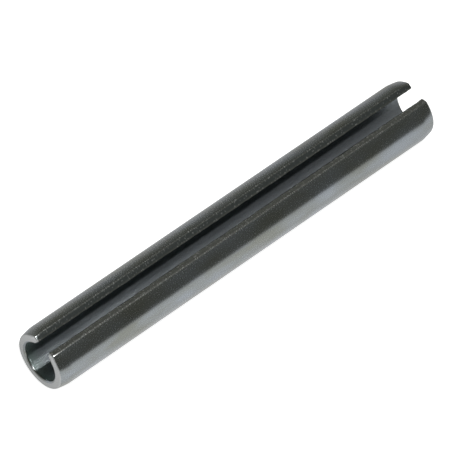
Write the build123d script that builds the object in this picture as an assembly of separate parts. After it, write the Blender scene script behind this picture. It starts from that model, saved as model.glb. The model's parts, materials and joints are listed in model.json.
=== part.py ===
from build123d import *
import os
from math import sqrt

# Slotted spring pin, in millimetres.
# A strip of spring steel is rolled into an open tube with a gap along its whole length, and both
# ends are tapered so that the pin starts easily in its hole. It is drawn as it comes before it is
# driven in, lying with the gap upwards, as its own weight turns it.
# The axis runs along X and the origin is on it, half way along the pin.

# Overall
length = 50.0
outer_diameter = 6.6  # before driving, for a 6 mm hole

# Strip
wall = 1.1
slot_gap = 2.8  # straight across from lip to lip, at the outside
slot_neck_gap = 1.7  # the same at the nose of each lip, where the slot is narrowest
slot_floor_gap = 2.2  # the same at the bore
slot_offset = 0.15  # the outside corners stand this far to one side of the middle
neck_offset = 0.08
nose_height = 2.64  # of both noses above the axis
lip_round = 0.08  # outer corner and nose of each lip, broken by tumbling

# Ends
taper_length = 1.4
taper_drop = 0.24  # how far the taper comes in towards the axis
taper_crown = 0.03  # how far the rolled taper bulges past a straight cone
end_edge_round = 0.2
bore_mouth_round = 0.1
strip_corner_round = 0.2  # corners of the strip at its four ends, seen from above
strip_corner_crown = 0.04  # how far each corner's arc bulges past a straight chamfer

# Worked out from the sizes above
outer_radius = outer_diameter / 2
bore_radius = outer_radius - wall
end_radius = outer_radius - taper_drop
half_length = length / 2
overrun = wall / 2  # how far trimming shapes run past the steel


def lip_corners(side):
    """The outer corner, nose and bore corner of one lip in the section; side is 1 or -1."""
    outer_y = side * slot_gap / 2 - slot_offset
    outer_corner = (outer_y, sqrt(outer_radius**2 - outer_y**2))
    nose = (side * slot_neck_gap / 2 - neck_offset, nose_height)
    bore_y = side * slot_floor_gap / 2
    bore_corner = (bore_y, sqrt(bore_radius**2 - bore_y**2))
    return outer_corner, nose, bore_corner


def rolled_strip():
    """The strip rolled to an open tube, gap upwards, a little longer than the pin."""
    left_outer, left_nose, left_inner = lip_corners(1)
    right_outer, right_nose, right_inner = lip_corners(-1)
    with BuildSketch(Plane.YZ) as section:
        with BuildLine():
            ThreePointArc(left_outer, (0, -outer_radius), right_outer)
            ThreePointArc(left_inner, (0, -bore_radius), right_inner)
            Polyline(left_outer, left_nose, left_inner)
            Polyline(right_outer, right_nose, right_inner)
        make_face()
        broken_corners = section.vertices().sort_by_distance((0, 0))[-4:]
        fillet(broken_corners, lip_round)
    return extrude(section.sketch, half_length + overrun, both=True)


def end_form():
    """A revolved ring with the taper, edge and bore mouth of both ends, to trim the strip to."""
    taper_start = half_length - taper_length
    mouth_start = half_length - bore_mouth_round
    above = outer_radius + overrun
    below = bore_radius - overrun
    with BuildSketch(Plane.XZ) as profile:
        with BuildLine():
            Polyline((0, below), (0, above), (taper_start, above), (taper_start, outer_radius))
            SagittaArc((taper_start, outer_radius), (half_length, end_radius), taper_crown)
            mouth_top = (half_length, bore_radius + bore_mouth_round)
            Line((half_length, end_radius), mouth_top)
            TangentArc(mouth_top, (mouth_start, bore_radius), tangent=(0, -1))
            Polyline((mouth_start, bore_radius), (mouth_start, below), (0, below))
        make_face()
        end_edge = profile.vertices().sort_by_distance((half_length, end_radius))[0]
        fillet(end_edge, end_edge_round)
        mirror(about=Plane.YZ)
    return revolve(profile.sketch, Axis.X)


def strip_corner_trims():
    """What comes off the strip's four corners, seen from above."""
    reach = slot_neck_gap / 4
    round_start = half_length - strip_corner_round
    past_end = half_length + overrun
    trims = []
    for side in (1, -1):
        nose_y = lip_corners(side)[1][0]
        with BuildSketch() as corner:
            with BuildLine():
                arc_start = (round_start, nose_y)
                arc_end = (half_length, nose_y + side * strip_corner_round)
                SagittaArc(arc_start, arc_end, -side * strip_corner_crown)
                Polyline(
                    arc_end,
                    (past_end, arc_end[1]),
                    (past_end, nose_y - side * reach),
                    (round_start, nose_y - side * reach),
                    arc_start,
                )
            make_face()
            mirror(about=Plane.YZ)
        trims.append(extrude(corner.sketch, outer_diameter))
    return trims


trimmed_strip = rolled_strip()
for trim in strip_corner_trims():
    trimmed_strip -= trim
spring_pin = trimmed_strip & end_form()

os.makedirs("parts", exist_ok=True)
export_step(spring_pin, "parts/spring_pin.step")
print("volume", round(spring_pin.volume, 2), "mm3, solids", len(spring_pin.solids()))
print("box", spring_pin.bounding_box())
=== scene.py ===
import json
import math

import bmesh
import bpy
from mathutils import Matrix, Vector, noise


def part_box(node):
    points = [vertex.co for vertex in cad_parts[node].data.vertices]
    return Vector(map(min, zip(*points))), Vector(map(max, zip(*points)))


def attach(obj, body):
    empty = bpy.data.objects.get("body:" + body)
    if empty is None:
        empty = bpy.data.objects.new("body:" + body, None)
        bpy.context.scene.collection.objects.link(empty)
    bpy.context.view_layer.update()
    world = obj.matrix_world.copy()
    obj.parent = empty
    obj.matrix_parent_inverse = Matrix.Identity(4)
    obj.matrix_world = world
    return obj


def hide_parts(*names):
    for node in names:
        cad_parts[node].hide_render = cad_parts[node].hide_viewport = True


# A slotted spring pin, lying with its gap upwards on a pale floor.
# The pin is shaped the way it is made: a flat strip with broken edges is rolled to an open tube,
# and its ends are pressed to a taper. The strip starts as a flat bar of points, and each point is
# then moved to its place in the rolled pin.

MM = 0.001

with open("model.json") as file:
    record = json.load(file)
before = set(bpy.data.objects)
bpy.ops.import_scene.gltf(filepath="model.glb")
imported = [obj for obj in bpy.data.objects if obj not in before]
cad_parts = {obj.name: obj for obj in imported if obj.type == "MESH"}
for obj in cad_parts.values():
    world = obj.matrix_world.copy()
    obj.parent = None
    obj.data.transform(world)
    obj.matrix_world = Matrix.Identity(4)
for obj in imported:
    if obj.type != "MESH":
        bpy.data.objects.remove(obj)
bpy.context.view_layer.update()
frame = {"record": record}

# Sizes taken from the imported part
MOUNTS = {mount["name"]: mount for mount in frame["record"]["mounts"]}
PIN_LOW, PIN_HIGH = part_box("spring_pin")
LENGTH = PIN_HIGH.x - PIN_LOW.x
OUTER_RADIUS = MOUNTS["shank"]["dims"]["r_mm"] * MM
BORE_RADIUS = MOUNTS["bore"]["dims"]["r_mm"] * MM
WALL = OUTER_RADIUS - BORE_RADIUS
TAPER_LENGTH = (LENGTH - MOUNTS["shank"]["dims"]["length_mm"] * MM) / 2

# Sizes of the strip and its ends, as the part has them. The noses reach a little further in than
# the part's, and the bore mouth is a little rounder, as the photograph shows close up.
SLOT_GAP = 2.8 * MM  # straight across at the outside
SLOT_NECK_GAP = 1.5 * MM  # the same between the noses of the lips, where it is narrowest
SLOT_FLOOR_GAP = 2.2 * MM  # the same at the bore
SLOT_OFFSET = 0.15 * MM  # the outside corners stand this far to one side of the middle
NECK_OFFSET = 0.13 * MM
NOSE_DEPTH = 0.53 * MM  # of the noses under the outside
NOSE_BLUNT = 0.02 * MM
LIP_ROUND = 0.08 * MM
TAPER_DROP = 0.24 * MM
TAPER_CROWN = 0.03 * MM
END_EDGE_ROUND = 0.2 * MM
BORE_MOUTH_ROUND = 0.18 * MM
STRIP_CORNER_ROUND = 0.2 * MM
NOSE_RADIUS = OUTER_RADIUS - NOSE_DEPTH
STRIP_WIDTH = 2 * math.pi * OUTER_RADIUS - SLOT_GAP  # nearly, at the outside

# Unevenness left by slitting the strip, seen along its long edges
SLIT_WAVE = 0.012 * MM
SLIT_WAVE_SIZE = (3.1 * MM, 2.0 * MM)  # along the strip and in depth
SLIT_NICK = 0.05 * MM
SLIT_NICK_SIZE = (0.7 * MM, 0.4 * MM)
UNLIKE_WAVES = 7.3  # how far off its middle the noise is read for each edge, so that they differ
UNLIKE_NICKS = 3.9
LIP_ZONE = 1.2 * MM  # how far from its long edge the strip feels the slitting

# The ends of the lips, with the left one under True, judged from their glints
LIP_SHORT = {True: 0.06 * MM, False: 0.05 * MM}  # how far each is set back
LIP_STANDS_OUT = {True: 0.65, False: 0.45}  # share of the taper's drop its outer corner is spared

ALMOST = 0.001 * MM  # closer than this is the same place
FACING_ALONG = 0.99  # a face whose normal is at least this much along the pin is a cut end


def linear(hex_colour):
    """An sRGB colour such as 8c9aa0 as linear red, green, blue and alpha."""
    channels = [int(hex_colour[i : i + 2], 16) / 255 for i in (0, 2, 4)]
    return [c / 12.92 if c <= 0.04045 else ((c + 0.055) / 1.055) ** 2.4 for c in channels] + [1.0]


def spaced(*stops):
    """Places from 0 outwards; each stop is how far it is and how many cells lead up to it."""
    places = [0.0]
    for place, cells in stops:
        start = places[-1]
        places += [start + (place - start) * i / cells for i in range(1, cells + 1)]
    return places


def mirrored(half, total):
    """The places of one half and their mirror image, up to the total."""
    return half[:-1] + [total - place for place in reversed(half)]


def flat_strip():
    """A flat bar as a bmesh: its points hold the place along, across and in depth."""
    half_along = spaced((STRIP_CORNER_ROUND, 8), (TAPER_LENGTH, 10), (LENGTH / 2, 160))
    half_across = spaced((LIP_ROUND, 5), (LIP_ZONE, 8), (STRIP_WIDTH / 2, 30))
    along = mirrored(half_along, LENGTH)
    across = mirrored(half_across, STRIP_WIDTH)
    depths = spaced(
        (LIP_ROUND, 4), (NOSE_DEPTH - LIP_ROUND, 5), (NOSE_DEPTH + LIP_ROUND, 6), (WALL, 7)
    )
    bm = bmesh.new()
    bmesh.ops.create_grid(bm, x_segments=len(along) - 1, y_segments=len(across) - 1, size=1)
    for vert in bm.verts:
        i = round((vert.co.x + 1) / 2 * (len(along) - 1))
        j = round((vert.co.y + 1) / 2 * (len(across) - 1))
        vert.co = Vector((along[i], across[j], 0.0))
    sheet = bm.faces[:]
    for depth, next_depth in zip(depths, depths[1:]):
        made = bmesh.ops.extrude_face_region(bm, geom=sheet, use_keep_orig=True)
        moved = [item for item in made["geom"] if isinstance(item, bmesh.types.BMVert)]
        bmesh.ops.translate(bm, verts=moved, vec=(0, 0, next_depth - depth))
        if depth > 0.0:  # only the first and last sheets stay, as the outside and the bore
            bmesh.ops.delete(bm, geom=sheet, context="FACES")
        sheet = [item for item in made["geom"] if isinstance(item, bmesh.types.BMFace)]
    return bm


def rounded(a, b, size):
    """Turns a square corner into a round one: distances from its two sides, in and out."""
    if a >= size or b >= size:
        return a, b
    over_a = size - a
    over_b = size - b
    shrink = max(over_a, over_b) / math.hypot(over_a, over_b)
    return size - over_a * shrink, size - over_b * shrink


def drawn_in(from_end, size):
    """How far a rounded edge of this size has drawn in, this far from the end."""
    if from_end >= size:
        return 0.0
    return size - math.sqrt(size**2 - (size - from_end) ** 2)


def tapered_radius(from_end):
    """The outer radius this far from the end, with the taper's slight crown."""
    if from_end >= TAPER_LENGTH:
        return OUTER_RADIUS
    share = from_end / TAPER_LENGTH
    crown = 4 * TAPER_CROWN * share * (1 - share)
    return OUTER_RADIUS - TAPER_DROP * (1 - share) + crown


def lip_turn(side, radius):
    """The angle from the middle of the gap to one lip at this radius; side is 1 or -1."""
    at_outside = SLOT_GAP / 2 - side * SLOT_OFFSET
    at_nose = SLOT_NECK_GAP / 2 - side * NECK_OFFSET
    at_bore = SLOT_FLOOR_GAP / 2
    above_nose = radius - NOSE_RADIUS
    if above_nose > 0:
        half_gap = at_nose + (at_outside - at_nose) * above_nose / NOSE_DEPTH
    else:
        half_gap = at_nose + (at_bore - at_nose) * above_nose / (BORE_RADIUS - NOSE_RADIUS)
    half_gap += NOSE_BLUNT * max(0.0, 1 - (above_nose / LIP_ROUND) ** 2)
    return math.asin(half_gap / radius)


def slit_edge(x, side, depth):
    """How far the slit edge stands in from straight at this place along the strip."""
    wave_length, wave_depth = SLIT_WAVE_SIZE
    nick_length, nick_depth = SLIT_NICK_SIZE
    wave = noise.noise(Vector((x / wave_length, side * UNLIKE_WAVES, depth / wave_depth)))
    nick = noise.noise(Vector((x / nick_length, side * UNLIKE_NICKS, depth / nick_depth)))
    at_nose = max(0.0, 1 - abs(depth - NOSE_DEPTH) / (2 * LIP_ROUND))
    return SLIT_WAVE * wave + SLIT_NICK * nick * at_nose


def roll_strip(bm):
    """Rounds the strip's edges and ends, rolls it round the axis and tapers its ends."""
    strip_layer = bm.verts.layers.float_vector.new("strip")
    surface_layer = bm.verts.layers.float_vector.new("surface")
    end_layer = bm.verts.layers.float.new("cut_end")
    for vert in bm.verts:
        x, across, depth = vert.co
        near = x < LENGTH / 2
        left = across < STRIP_WIDTH / 2
        from_end = x if near else LENGTH - x
        from_lip = across if left else STRIP_WIDTH - across
        by_lip = max(0.0, 1 - from_lip / LIP_ZONE) ** 2

        # What kind of surface the point is on, for the steel's finish
        slit = float(from_lip < ALMOST and depth > LIP_ROUND - ALMOST)
        inside = depth > WALL - ALMOST and from_lip > ALMOST
        bore = float(inside and from_end > BORE_MOUTH_ROUND)
        at_nose = from_lip < ALMOST and abs(depth - NOSE_DEPTH) < LIP_ROUND
        broken = from_lip < LIP_ROUND - ALMOST and depth < LIP_ROUND - ALMOST
        edge = float(at_nose or broken)
        vert[surface_layer] = Vector((slit, bore, edge))
        vert[end_layer] = float(from_end < END_EDGE_ROUND / 2 and depth < WALL - ALMOST)

        # The flat strip with its edges broken and its ends rounded
        from_lip, depth = rounded(from_lip, depth, LIP_ROUND)
        top = drawn_in(from_end, END_EDGE_ROUND)
        bottom = drawn_in(from_end, BORE_MOUTH_ROUND)
        depth = top + depth * (WALL - top - bottom) / WALL
        if from_lip < LIP_ZONE:
            lip = drawn_in(from_end, STRIP_CORNER_ROUND)
            lip += slit_edge(x, 1 if left else -1, depth)
            from_lip += lip * (1 - from_lip / LIP_ZONE)
        across = from_lip if left else STRIP_WIDTH - from_lip
        vert[strip_layer] = Vector((x, across, depth))

        # Rolled up, with the ends of the lips set back and the ends of the tube tapered
        set_back = LIP_SHORT[left] * by_lip * (1 - from_end / (LENGTH / 2))
        x += set_back if near else -set_back
        radius = OUTER_RADIUS - depth
        if depth < NOSE_DEPTH:
            outer = tapered_radius(from_end)
            outer += (OUTER_RADIUS - outer) * LIP_STANDS_OUT[left] * by_lip
            radius = outer - depth * (outer - NOSE_RADIUS) / NOSE_DEPTH
        start = lip_turn(1, OUTER_RADIUS - depth)
        spread = 2 * math.pi - start - lip_turn(-1, OUTER_RADIUS - depth)
        turn = start + across / STRIP_WIDTH * spread
        vert.co = Vector((x - LENGTH / 2, radius * math.sin(turn), radius * math.cos(turn)))


def build_pin():
    """The rolled pin as one closed mesh, standing for the solid of the same size."""
    bm = flat_strip()
    roll_strip(bm)
    bmesh.ops.recalc_face_normals(bm, faces=bm.faces[:])
    for face in bm.faces:
        face.smooth = abs(face.normal.x) < FACING_ALONG
    mesh = bpy.data.meshes.new("rolled_pin")
    bm.to_mesh(mesh)
    bm.free()
    pin = bpy.data.objects.new("rolled_pin", mesh)
    bpy.context.scene.collection.objects.link(pin)
    return pin


def add(tree, kind, settings=None, inputs=None):
    """Adds a node with its settings, and its inputs as values or as links from sockets."""
    node = tree.nodes.new(kind)
    for name, value in (settings or {}).items():
        setattr(node, name, value)
    for name, value in (inputs or {}).items():
        if isinstance(value, bpy.types.NodeSocket):
            tree.links.new(value, node.inputs[name])
        else:
            node.inputs[name].default_value = value
    return node


# Settings of nodes that are used more than once
COLOURS = {"data_type": "RGBA"}  # a Mix node takes its colours at inputs 6 and 7
TIMES = {"operation": "MULTIPLY"}
TIMES_PLUS = {"operation": "MULTIPLY_ADD"}
PLUS = {"operation": "ADD"}
WEIGHTED = {"operation": "DOT_PRODUCT"}

# Sizes of the marks on the steel. Real grain and specks are finer than the picture can show, so
# both are drawn coarser.
GRAIN = MM / 7
SPECK = MM / 6
CLOUD_LENGTH = 6.25 * MM
CLOUD_WIDTH = MM / 0.42
NEAR_END = (1.8 * MM, 0.2 * MM)  # the bore's temper colour comes up between these

# The finish of the outside, and what the slit faces, the bore and the broken edges add to it
ROUGHNESS = 0.19
ROUGHNESS_ADDED = (-0.03, 0.38, 0.03)
CUT_END_ROUGHNESS_ADDED = 0.3
DULL_GRAIN = 0.15  # how much rougher the dullest grains are
DULL_GRAIN_ADDED = (-0.1, 0.0, -0.03)
RELIEF = 0.003 * MM
RELIEF_ADDED = (0.01 * MM, 0.04 * MM, 0.0)
SPECKS_SHOWN = (0.8, 0.0, 0.8)  # none on the outside or in the bore
BORE_OIL = 0.3  # share of the bore's metal that oil and loose scale hide
BORE_OIL_ADDED = 0.35  # more of it towards the near end
BORE_SKIN = 0.38  # share of the bore that is still smooth


def spring_steel():
    """Hardened and tempered spring steel strip, rolled, tumbled and oiled.
    Its thin dark scale and oil make it a dim mirror with a satin blur. The slit faces are a
    little smoother, and the bore, which tumbling doesn't reach, is rougher."""
    material = bpy.data.materials.new("spring_steel")
    material.use_nodes = True
    tree = material.node_tree
    tree.nodes.clear()
    output = add(tree, "ShaderNodeOutputMaterial")
    place = add(tree, "ShaderNodeAttribute", {"attribute_name": "strip"}).outputs["Vector"]
    surface = add(tree, "ShaderNodeAttribute", {"attribute_name": "surface"}).outputs["Vector"]
    cut_end = add(tree, "ShaderNodeAttribute", {"attribute_name": "cut_end"}).outputs["Fac"]
    strip = add(tree, "ShaderNodeSeparateXYZ", inputs={0: place})
    slit, bore, edge = add(tree, "ShaderNodeSeparateXYZ", inputs={0: surface}).outputs

    # Cloudy oil and temper colours, drawn out along the strip
    stretched = add(
        tree,
        "ShaderNodeVectorMath",
        TIMES,
        {0: place, 1: (1 / CLOUD_LENGTH, 1 / CLOUD_WIDTH, 1 / CLOUD_WIDTH)},
    )
    clouds = add(
        tree,
        "ShaderNodeTexNoise",
        inputs={"Vector": stretched.outputs[0], "Scale": 1.0, "Detail": 4.0, "Roughness": 0.5},
    )
    patches = add(
        tree,
        "ShaderNodeMapRange",
        inputs={"Value": clouds.outputs["Fac"], "From Min": 0.36, "From Max": 0.64},
    ).outputs[0]
    cloudy = add(
        tree, "ShaderNodeMix", COLOURS, {0: patches, 6: linear("8e918b"), 7: linear("9da3a8")}
    ).outputs[2]

    # Where a point is along and across the strip, as shares from 0 to 1
    along = add(
        tree, "ShaderNodeMapRange", inputs={"Value": strip.outputs["X"], "From Max": LENGTH}
    ).outputs[0]
    across = add(
        tree, "ShaderNodeMapRange", inputs={"Value": strip.outputs["Y"], "From Max": STRIP_WIDTH}
    ).outputs[0]
    near_end = add(
        tree,
        "ShaderNodeMapRange",
        inputs={"Value": strip.outputs["X"], "From Min": NEAR_END[0], "From Max": NEAR_END[1]},
    ).outputs[0]

    # The slit face on the left is darker than the one on the right: painted shade
    slit_shaded_left = add(
        tree, "ShaderNodeMix", COLOURS, {0: across, 6: linear("858b8c"), 7: linear("aaaca9")}
    ).outputs[2]
    on_slit = add(
        tree, "ShaderNodeMix", COLOURS, {0: slit, 6: cloudy, 7: slit_shaded_left}
    ).outputs[2]

    # The bore is blotched, darker at the far end as painted shade, and has a temper colour at the
    # near end
    blotched = add(
        tree, "ShaderNodeMix", COLOURS, {0: patches, 6: linear("7f868a"), 7: linear("9ba2a6")}
    ).outputs[2]
    bore_shaded_far = add(
        tree, "ShaderNodeMix", COLOURS, {0: along, 6: blotched, 7: linear("808488")}
    ).outputs[2]
    tempered = add(
        tree, "ShaderNodeMix", COLOURS, {0: near_end, 6: bore_shaded_far, 7: linear("8d9f9a")}
    ).outputs[2]
    on_bore = add(
        tree, "ShaderNodeMix", COLOURS, {0: bore, 6: on_slit, 7: tempered}
    ).outputs[2]

    # Tumbling rubs the scale off the broken edges and noses; their colour is also lightened as a
    # painted highlight, most on the right at the near end
    right_edge_wear_and_highlight = add(
        tree, "ShaderNodeMix", COLOURS, {0: along, 6: linear("d6d8d5"), 7: linear("bdbfbc")}
    ).outputs[2]
    edge_wear_and_highlight = add(
        tree, "ShaderNodeMix", COLOURS, {0: across, 6: linear("a3a6a2"), 7: right_edge_wear_and_highlight}
    ).outputs[2]
    on_edge = add(
        tree, "ShaderNodeMix", COLOURS, {0: edge, 6: on_bore, 7: edge_wear_and_highlight}
    ).outputs[2]

    # The ends are cut after hardening, so they are bare
    on_end = add(
        tree, "ShaderNodeMix", COLOURS, {0: cut_end, 6: on_edge, 7: linear("c3c5c5")}
    ).outputs[2]

    # Fine grain of the scale, in colour, in dulness and as a texture that catches the light
    grain = add(
        tree,
        "ShaderNodeTexNoise",
        inputs={"Vector": place, "Scale": 1 / GRAIN, "Detail": 2.0, "Roughness": 0.6},
    ).outputs["Fac"]
    shade = add(
        tree,
        "ShaderNodeMapRange",
        inputs={"Value": grain, "From Min": 0.3, "From Max": 0.7, "To Min": 0.85, "To Max": 1.15},
    )
    grainy = add(
        tree,
        "ShaderNodeVectorMath",
        {"operation": "SCALE"},
        {0: on_end, "Scale": shade.outputs[0]},
    )
    dull_added = add(tree, "ShaderNodeVectorMath", WEIGHTED, {0: surface, 1: DULL_GRAIN_ADDED})
    dullest = add(
        tree, "ShaderNodeMath", PLUS, {0: dull_added.outputs["Value"], 1: DULL_GRAIN}
    )
    dull = add(
        tree,
        "ShaderNodeMapRange",
        inputs={"Value": grain, "From Min": 0.5, "From Max": 0.72, "To Max": dullest.outputs[0]},
    )
    relief_added = add(tree, "ShaderNodeVectorMath", WEIGHTED, {0: surface, 1: RELIEF_ADDED})
    relief = add(tree, "ShaderNodeMath", PLUS, {0: relief_added.outputs["Value"], 1: RELIEF})
    texture = add(
        tree,
        "ShaderNodeBump",
        inputs={"Height": grain, "Distance": relief.outputs[0], "Strength": 1.0},
    ).outputs[0]

    # Bright specks where slitting tore the steel
    speck_noise = add(
        tree, "ShaderNodeTexNoise", inputs={"Vector": place, "Scale": 1 / SPECK, "Detail": 0.0}
    )
    shown = add(tree, "ShaderNodeVectorMath", WEIGHTED, {0: surface, 1: SPECKS_SHOWN})
    specks = add(
        tree,
        "ShaderNodeMapRange",
        inputs={
            "Value": speck_noise.outputs["Fac"],
            "From Min": 0.66,
            "From Max": 0.74,
            "To Max": shown.outputs["Value"],
        },
    )
    speckled = add(
        tree,
        "ShaderNodeMix",
        COLOURS,
        {0: specks.outputs[0], 6: grainy.outputs[0], 7: linear("f2f4f6")},
    ).outputs[2]

    # How rough and how bare the steel is
    rough_added = add(tree, "ShaderNodeVectorMath", WEIGHTED, {0: surface, 1: ROUGHNESS_ADDED})
    rough_ends = add(
        tree,
        "ShaderNodeMath",
        TIMES_PLUS,
        {0: cut_end, 1: CUT_END_ROUGHNESS_ADDED, 2: rough_added.outputs["Value"]},
    )
    rough_grain = add(
        tree, "ShaderNodeMath", PLUS, {0: rough_ends.outputs[0], 1: dull.outputs[0]}
    )
    rough = add(tree, "ShaderNodeMath", PLUS, {0: rough_grain.outputs[0], 1: ROUGHNESS})
    oil = add(
        tree, "ShaderNodeMath", TIMES_PLUS, {0: near_end, 1: BORE_OIL_ADDED, 2: BORE_OIL}
    )
    hidden = add(tree, "ShaderNodeMath", TIMES, {0: bore, 1: oil.outputs[0]})
    metallic = add(tree, "ShaderNodeMath", TIMES_PLUS, {0: hidden.outputs[0], 1: -1.0, 2: 1.0})
    scale = add(
        tree,
        "ShaderNodeBsdfPrincipled",
        inputs={
            "Base Color": speckled,
            "Metallic": metallic.outputs[0],
            "Roughness": rough.outputs[0],
            "Normal": texture,
        },
    )

    # Between the patches of scale the bore keeps some of the strip's smooth rolled skin
    skin = add(
        tree,
        "ShaderNodeBsdfGlossy",
        inputs={"Color": linear("a9b1b5"), "Roughness": 0.22, "Normal": texture},
    )
    skin_share = add(tree, "ShaderNodeMath", TIMES, {0: bore, 1: BORE_SKIN})
    steel = add(
        tree,
        "ShaderNodeMixShader",
        inputs={0: skin_share.outputs[0], 1: scale.outputs["BSDF"], 2: skin.outputs["BSDF"]},
    )
    tree.links.new(steel.outputs[0], output.inputs["Surface"])
    return material


# How bright the paper looks in the steel, set for the photograph's view
PAPER_REACH = 0.12  # metres to each side that the levels can cover
PAPER_LEVELS = (  # at these places across the paper, in metres
    (-0.110, 0.25),
    (-0.085, 0.40),
    (-0.060, 0.95),
    (-0.009, 1.00),
    (-0.0035, 0.82),
    (0.0, 0.68),
    (0.010, 0.56),
    (0.020, 0.49),
    (0.040, 0.42),
    (0.110, 0.35),
)
PAPER_FADE = (0.0, 0.06)  # metres along the pin, from its middle, over which they fall off
PAPER_FADED = 0.75  # share of them that is left there
PAPER_NEAR_END = (-0.024, -0.030)  # past the pin's near end the paper is fully bright
PAPER_GLOW = 0.9  # what the camera sees of its own light, which makes it white


def white_floor():
    """Uncoated white paper, pressed flat but matt, so it shows a soft shadow and no gloss.
    The camera sees it as white."""
    material = bpy.data.materials.new("white_floor")
    material.use_nodes = True
    tree = material.node_tree
    tree.nodes.clear()
    output = add(tree, "ShaderNodeOutputMaterial")
    paper = add(tree, "ShaderNodeBsdfDiffuse", inputs={"Color": linear("f2f2f2")})

    # What the steel sees of the paper
    place = add(tree, "ShaderNodeNewGeometry")
    split = add(tree, "ShaderNodeSeparateXYZ", inputs={0: place.outputs["Position"]})
    across = add(
        tree,
        "ShaderNodeMapRange",
        inputs={"Value": split.outputs["Y"], "From Min": -PAPER_REACH, "From Max": PAPER_REACH},
    )
    paper_level = add(tree, "ShaderNodeValToRGB", inputs={"Fac": across.outputs[0]})
    ramp = paper_level.color_ramp
    ramp.elements.remove(ramp.elements[1])
    for y, level in PAPER_LEVELS:
        stop = ramp.elements.new((y / PAPER_REACH + 1) / 2)
        stop.color = (level, level, level, 1)
    ramp.elements.remove(ramp.elements[0])
    fade = add(
        tree,
        "ShaderNodeMapRange",
        inputs={
            "Value": split.outputs["X"],
            "From Min": PAPER_FADE[0],
            "From Max": PAPER_FADE[1],
            "To Min": 1.0,
            "To Max": PAPER_FADED,
        },
    )
    faded = add(
        tree, "ShaderNodeMath", TIMES, {0: paper_level.outputs["Color"], 1: fade.outputs[0]}
    )
    past_near_end = add(
        tree,
        "ShaderNodeMapRange",
        {"interpolation_type": "SMOOTHSTEP"},
        {
            "Value": split.outputs["X"],
            "From Min": PAPER_NEAR_END[0],
            "From Max": PAPER_NEAR_END[1],
        },
    )
    brightness = add(
        tree,
        "ShaderNodeMath",
        {"operation": "MAXIMUM"},
        {0: faded.outputs[0], 1: past_near_end.outputs[0]},
    )
    seen_in_steel = add(
        tree,
        "ShaderNodeEmission",
        inputs={"Color": linear("ffffff"), "Strength": brightness.outputs[0]},
    )

    # What the camera sees of it
    glow = add(
        tree, "ShaderNodeEmission", inputs={"Color": linear("ffffff"), "Strength": PAPER_GLOW}
    )
    seen_by_camera = add(
        tree, "ShaderNodeAddShader", inputs={0: paper.outputs[0], 1: glow.outputs[0]}
    )
    path = add(tree, "ShaderNodeLightPath").outputs
    for_camera = add(
        tree,
        "ShaderNodeMixShader",
        inputs={0: path["Is Camera Ray"], 1: paper.outputs[0], 2: seen_by_camera.outputs[0]},
    )
    for_steel = add(
        tree,
        "ShaderNodeMixShader",
        inputs={0: path["Is Glossy Ray"], 1: for_camera.outputs[0], 2: seen_in_steel.outputs[0]},
    )
    tree.links.new(for_steel.outputs[0], output.inputs["Surface"])
    return material


# The room is brighter low down on the far side, where the pin's upper flank mirrors it
ROOM_LOW = 0.3  # sine of the height above which it is no brighter than elsewhere
ROOM_FAR = 0.3  # sine of the angle to the far side from which on it is brightest
ROOM_BRIGHTER = 2.2


def studio():
    """White to the camera all round; over the floor the steel sees a dim room."""
    world = bpy.data.worlds.new("studio")
    world.use_nodes = True
    tree = world.node_tree
    tree.nodes.clear()
    output = add(tree, "ShaderNodeOutputWorld")
    white = add(
        tree, "ShaderNodeBackground", inputs={"Color": linear("ffffff"), "Strength": 1.0}
    )
    direction = add(tree, "ShaderNodeTexCoord")
    split = add(tree, "ShaderNodeSeparateXYZ", inputs={0: direction.outputs["Generated"]})
    low = add(
        tree,
        "ShaderNodeMapRange",
        inputs={
            "Value": split.outputs["Z"],
            "From Max": ROOM_LOW,
            "To Min": ROOM_BRIGHTER,
            "To Max": 1.0,
        },
    )
    low_and_far = add(
        tree,
        "ShaderNodeMapRange",
        inputs={
            "Value": split.outputs["Y"],
            "From Max": ROOM_FAR,
            "To Min": 1.0,
            "To Max": low.outputs[0],
        },
    )
    room = add(
        tree,
        "ShaderNodeBackground",
        inputs={"Color": linear("666763"), "Strength": low_and_far.outputs[0]},
    )
    path = add(tree, "ShaderNodeLightPath")
    seen = add(
        tree,
        "ShaderNodeMixShader",
        inputs={0: path.outputs["Is Camera Ray"], 1: room.outputs[0], 2: white.outputs[0]},
    )
    tree.links.new(seen.outputs[0], output.inputs["Surface"])
    bpy.context.scene.world = world


FLOOR_SIZE = 4.0  # metres from the middle to each side


def floor():
    """The table top, level with the underside of the pin."""
    bm = bmesh.new()
    bmesh.ops.create_grid(bm, x_segments=1, y_segments=1, size=FLOOR_SIZE)
    bmesh.ops.translate(bm, verts=bm.verts[:], vec=(0, 0, PIN_LOW.z))
    mesh = bpy.data.meshes.new("floor")
    bm.to_mesh(mesh)
    bm.free()
    table = bpy.data.objects.new("floor", mesh)
    bpy.context.scene.collection.objects.link(table)
    mesh.materials.append(white_floor())


# The one lamp, nearly overhead and a little towards the camera
LAMP_PLACE = (-0.02, -0.0914, 0.3275)
LAMP_SIZE = 0.015
LAMP_POWER = 0.57


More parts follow.
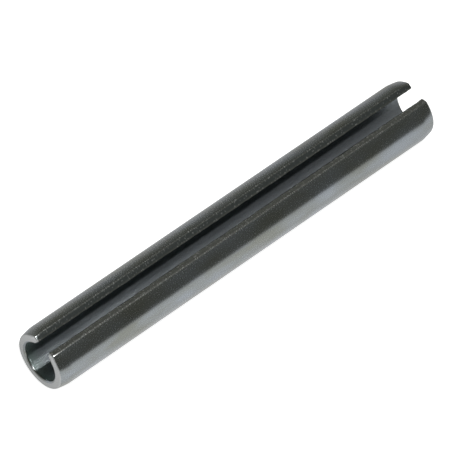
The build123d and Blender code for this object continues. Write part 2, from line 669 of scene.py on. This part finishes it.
def lamp():
    """A small soft box aimed at the pin."""
    light = bpy.data.lights.new("key", "AREA")
    light.shape = "RECTANGLE"
    light.size = LAMP_SIZE
    light.size_y = LAMP_SIZE
    light.energy = LAMP_POWER
    soft_box = bpy.data.objects.new("key", light)
    aim = Vector(LAMP_PLACE).to_track_quat("Z", "Y").to_matrix().to_4x4()
    soft_box.matrix_world = Matrix.Translation(LAMP_PLACE) @ aim
    bpy.context.scene.collection.objects.link(soft_box)


# The photograph's view, found by matching the pin's outline
VIEW_TILT = math.radians(26.6)  # how far the pin's near end leans towards the camera
GAP_TURN = math.radians(23.3)  # how far the gap faces away from the camera, towards the top
PICTURE_SLOPE = math.radians(34.27)  # the pin climbs to the right at this angle
PIXELS_PER_MM = 10.121
CAMERA_PIXELS = 5500  # distance of the camera, in pixels at the pin's middle
PICTURE_SIZE = 450
PIN_MIDDLE = (230.05, 232.15)  # where the pin's middle falls in the picture


def camera():
    """A long lens at the photograph's angle."""
    towards = Vector(
        (
            -math.sin(VIEW_TILT),
            -math.sin(GAP_TURN) * math.cos(VIEW_TILT),
            math.cos(GAP_TURN) * math.cos(VIEW_TILT),
        )
    )
    along = Vector(
        (
            math.cos(VIEW_TILT),
            -math.sin(GAP_TURN) * math.sin(VIEW_TILT),
            math.cos(GAP_TURN) * math.sin(VIEW_TILT),
        )
    )
    over = towards.cross(along)
    right = along * math.cos(PICTURE_SLOPE) - over * math.sin(PICTURE_SLOPE)
    up = along * math.sin(PICTURE_SLOPE) + over * math.cos(PICTURE_SLOPE)
    metres_per_pixel = MM / PIXELS_PER_MM
    centre = PICTURE_SIZE / 2
    aim = right * (centre - PIN_MIDDLE[0]) + up * (PIN_MIDDLE[1] - centre)
    place = aim * metres_per_pixel + towards * CAMERA_PIXELS * metres_per_pixel
    data = bpy.data.cameras.new("camera")
    data.sensor_fit = "HORIZONTAL"
    data.sensor_width = 36.0
    data.lens = data.sensor_width * CAMERA_PIXELS / PICTURE_SIZE
    data.clip_start = 0.01
    data.clip_end = 20.0
    viewer = bpy.data.objects.new("camera", data)
    turn = Matrix((right, up, towards)).transposed().to_4x4()
    viewer.matrix_world = Matrix.Translation(place) @ turn
    bpy.context.scene.collection.objects.link(viewer)
    bpy.context.scene.camera = viewer


pin = build_pin()
pin.data.materials.append(spring_steel())
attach(pin, "root")
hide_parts("spring_pin")

studio()
floor()
lamp()
camera()
bpy.context.scene.view_settings.view_transform = "Standard"
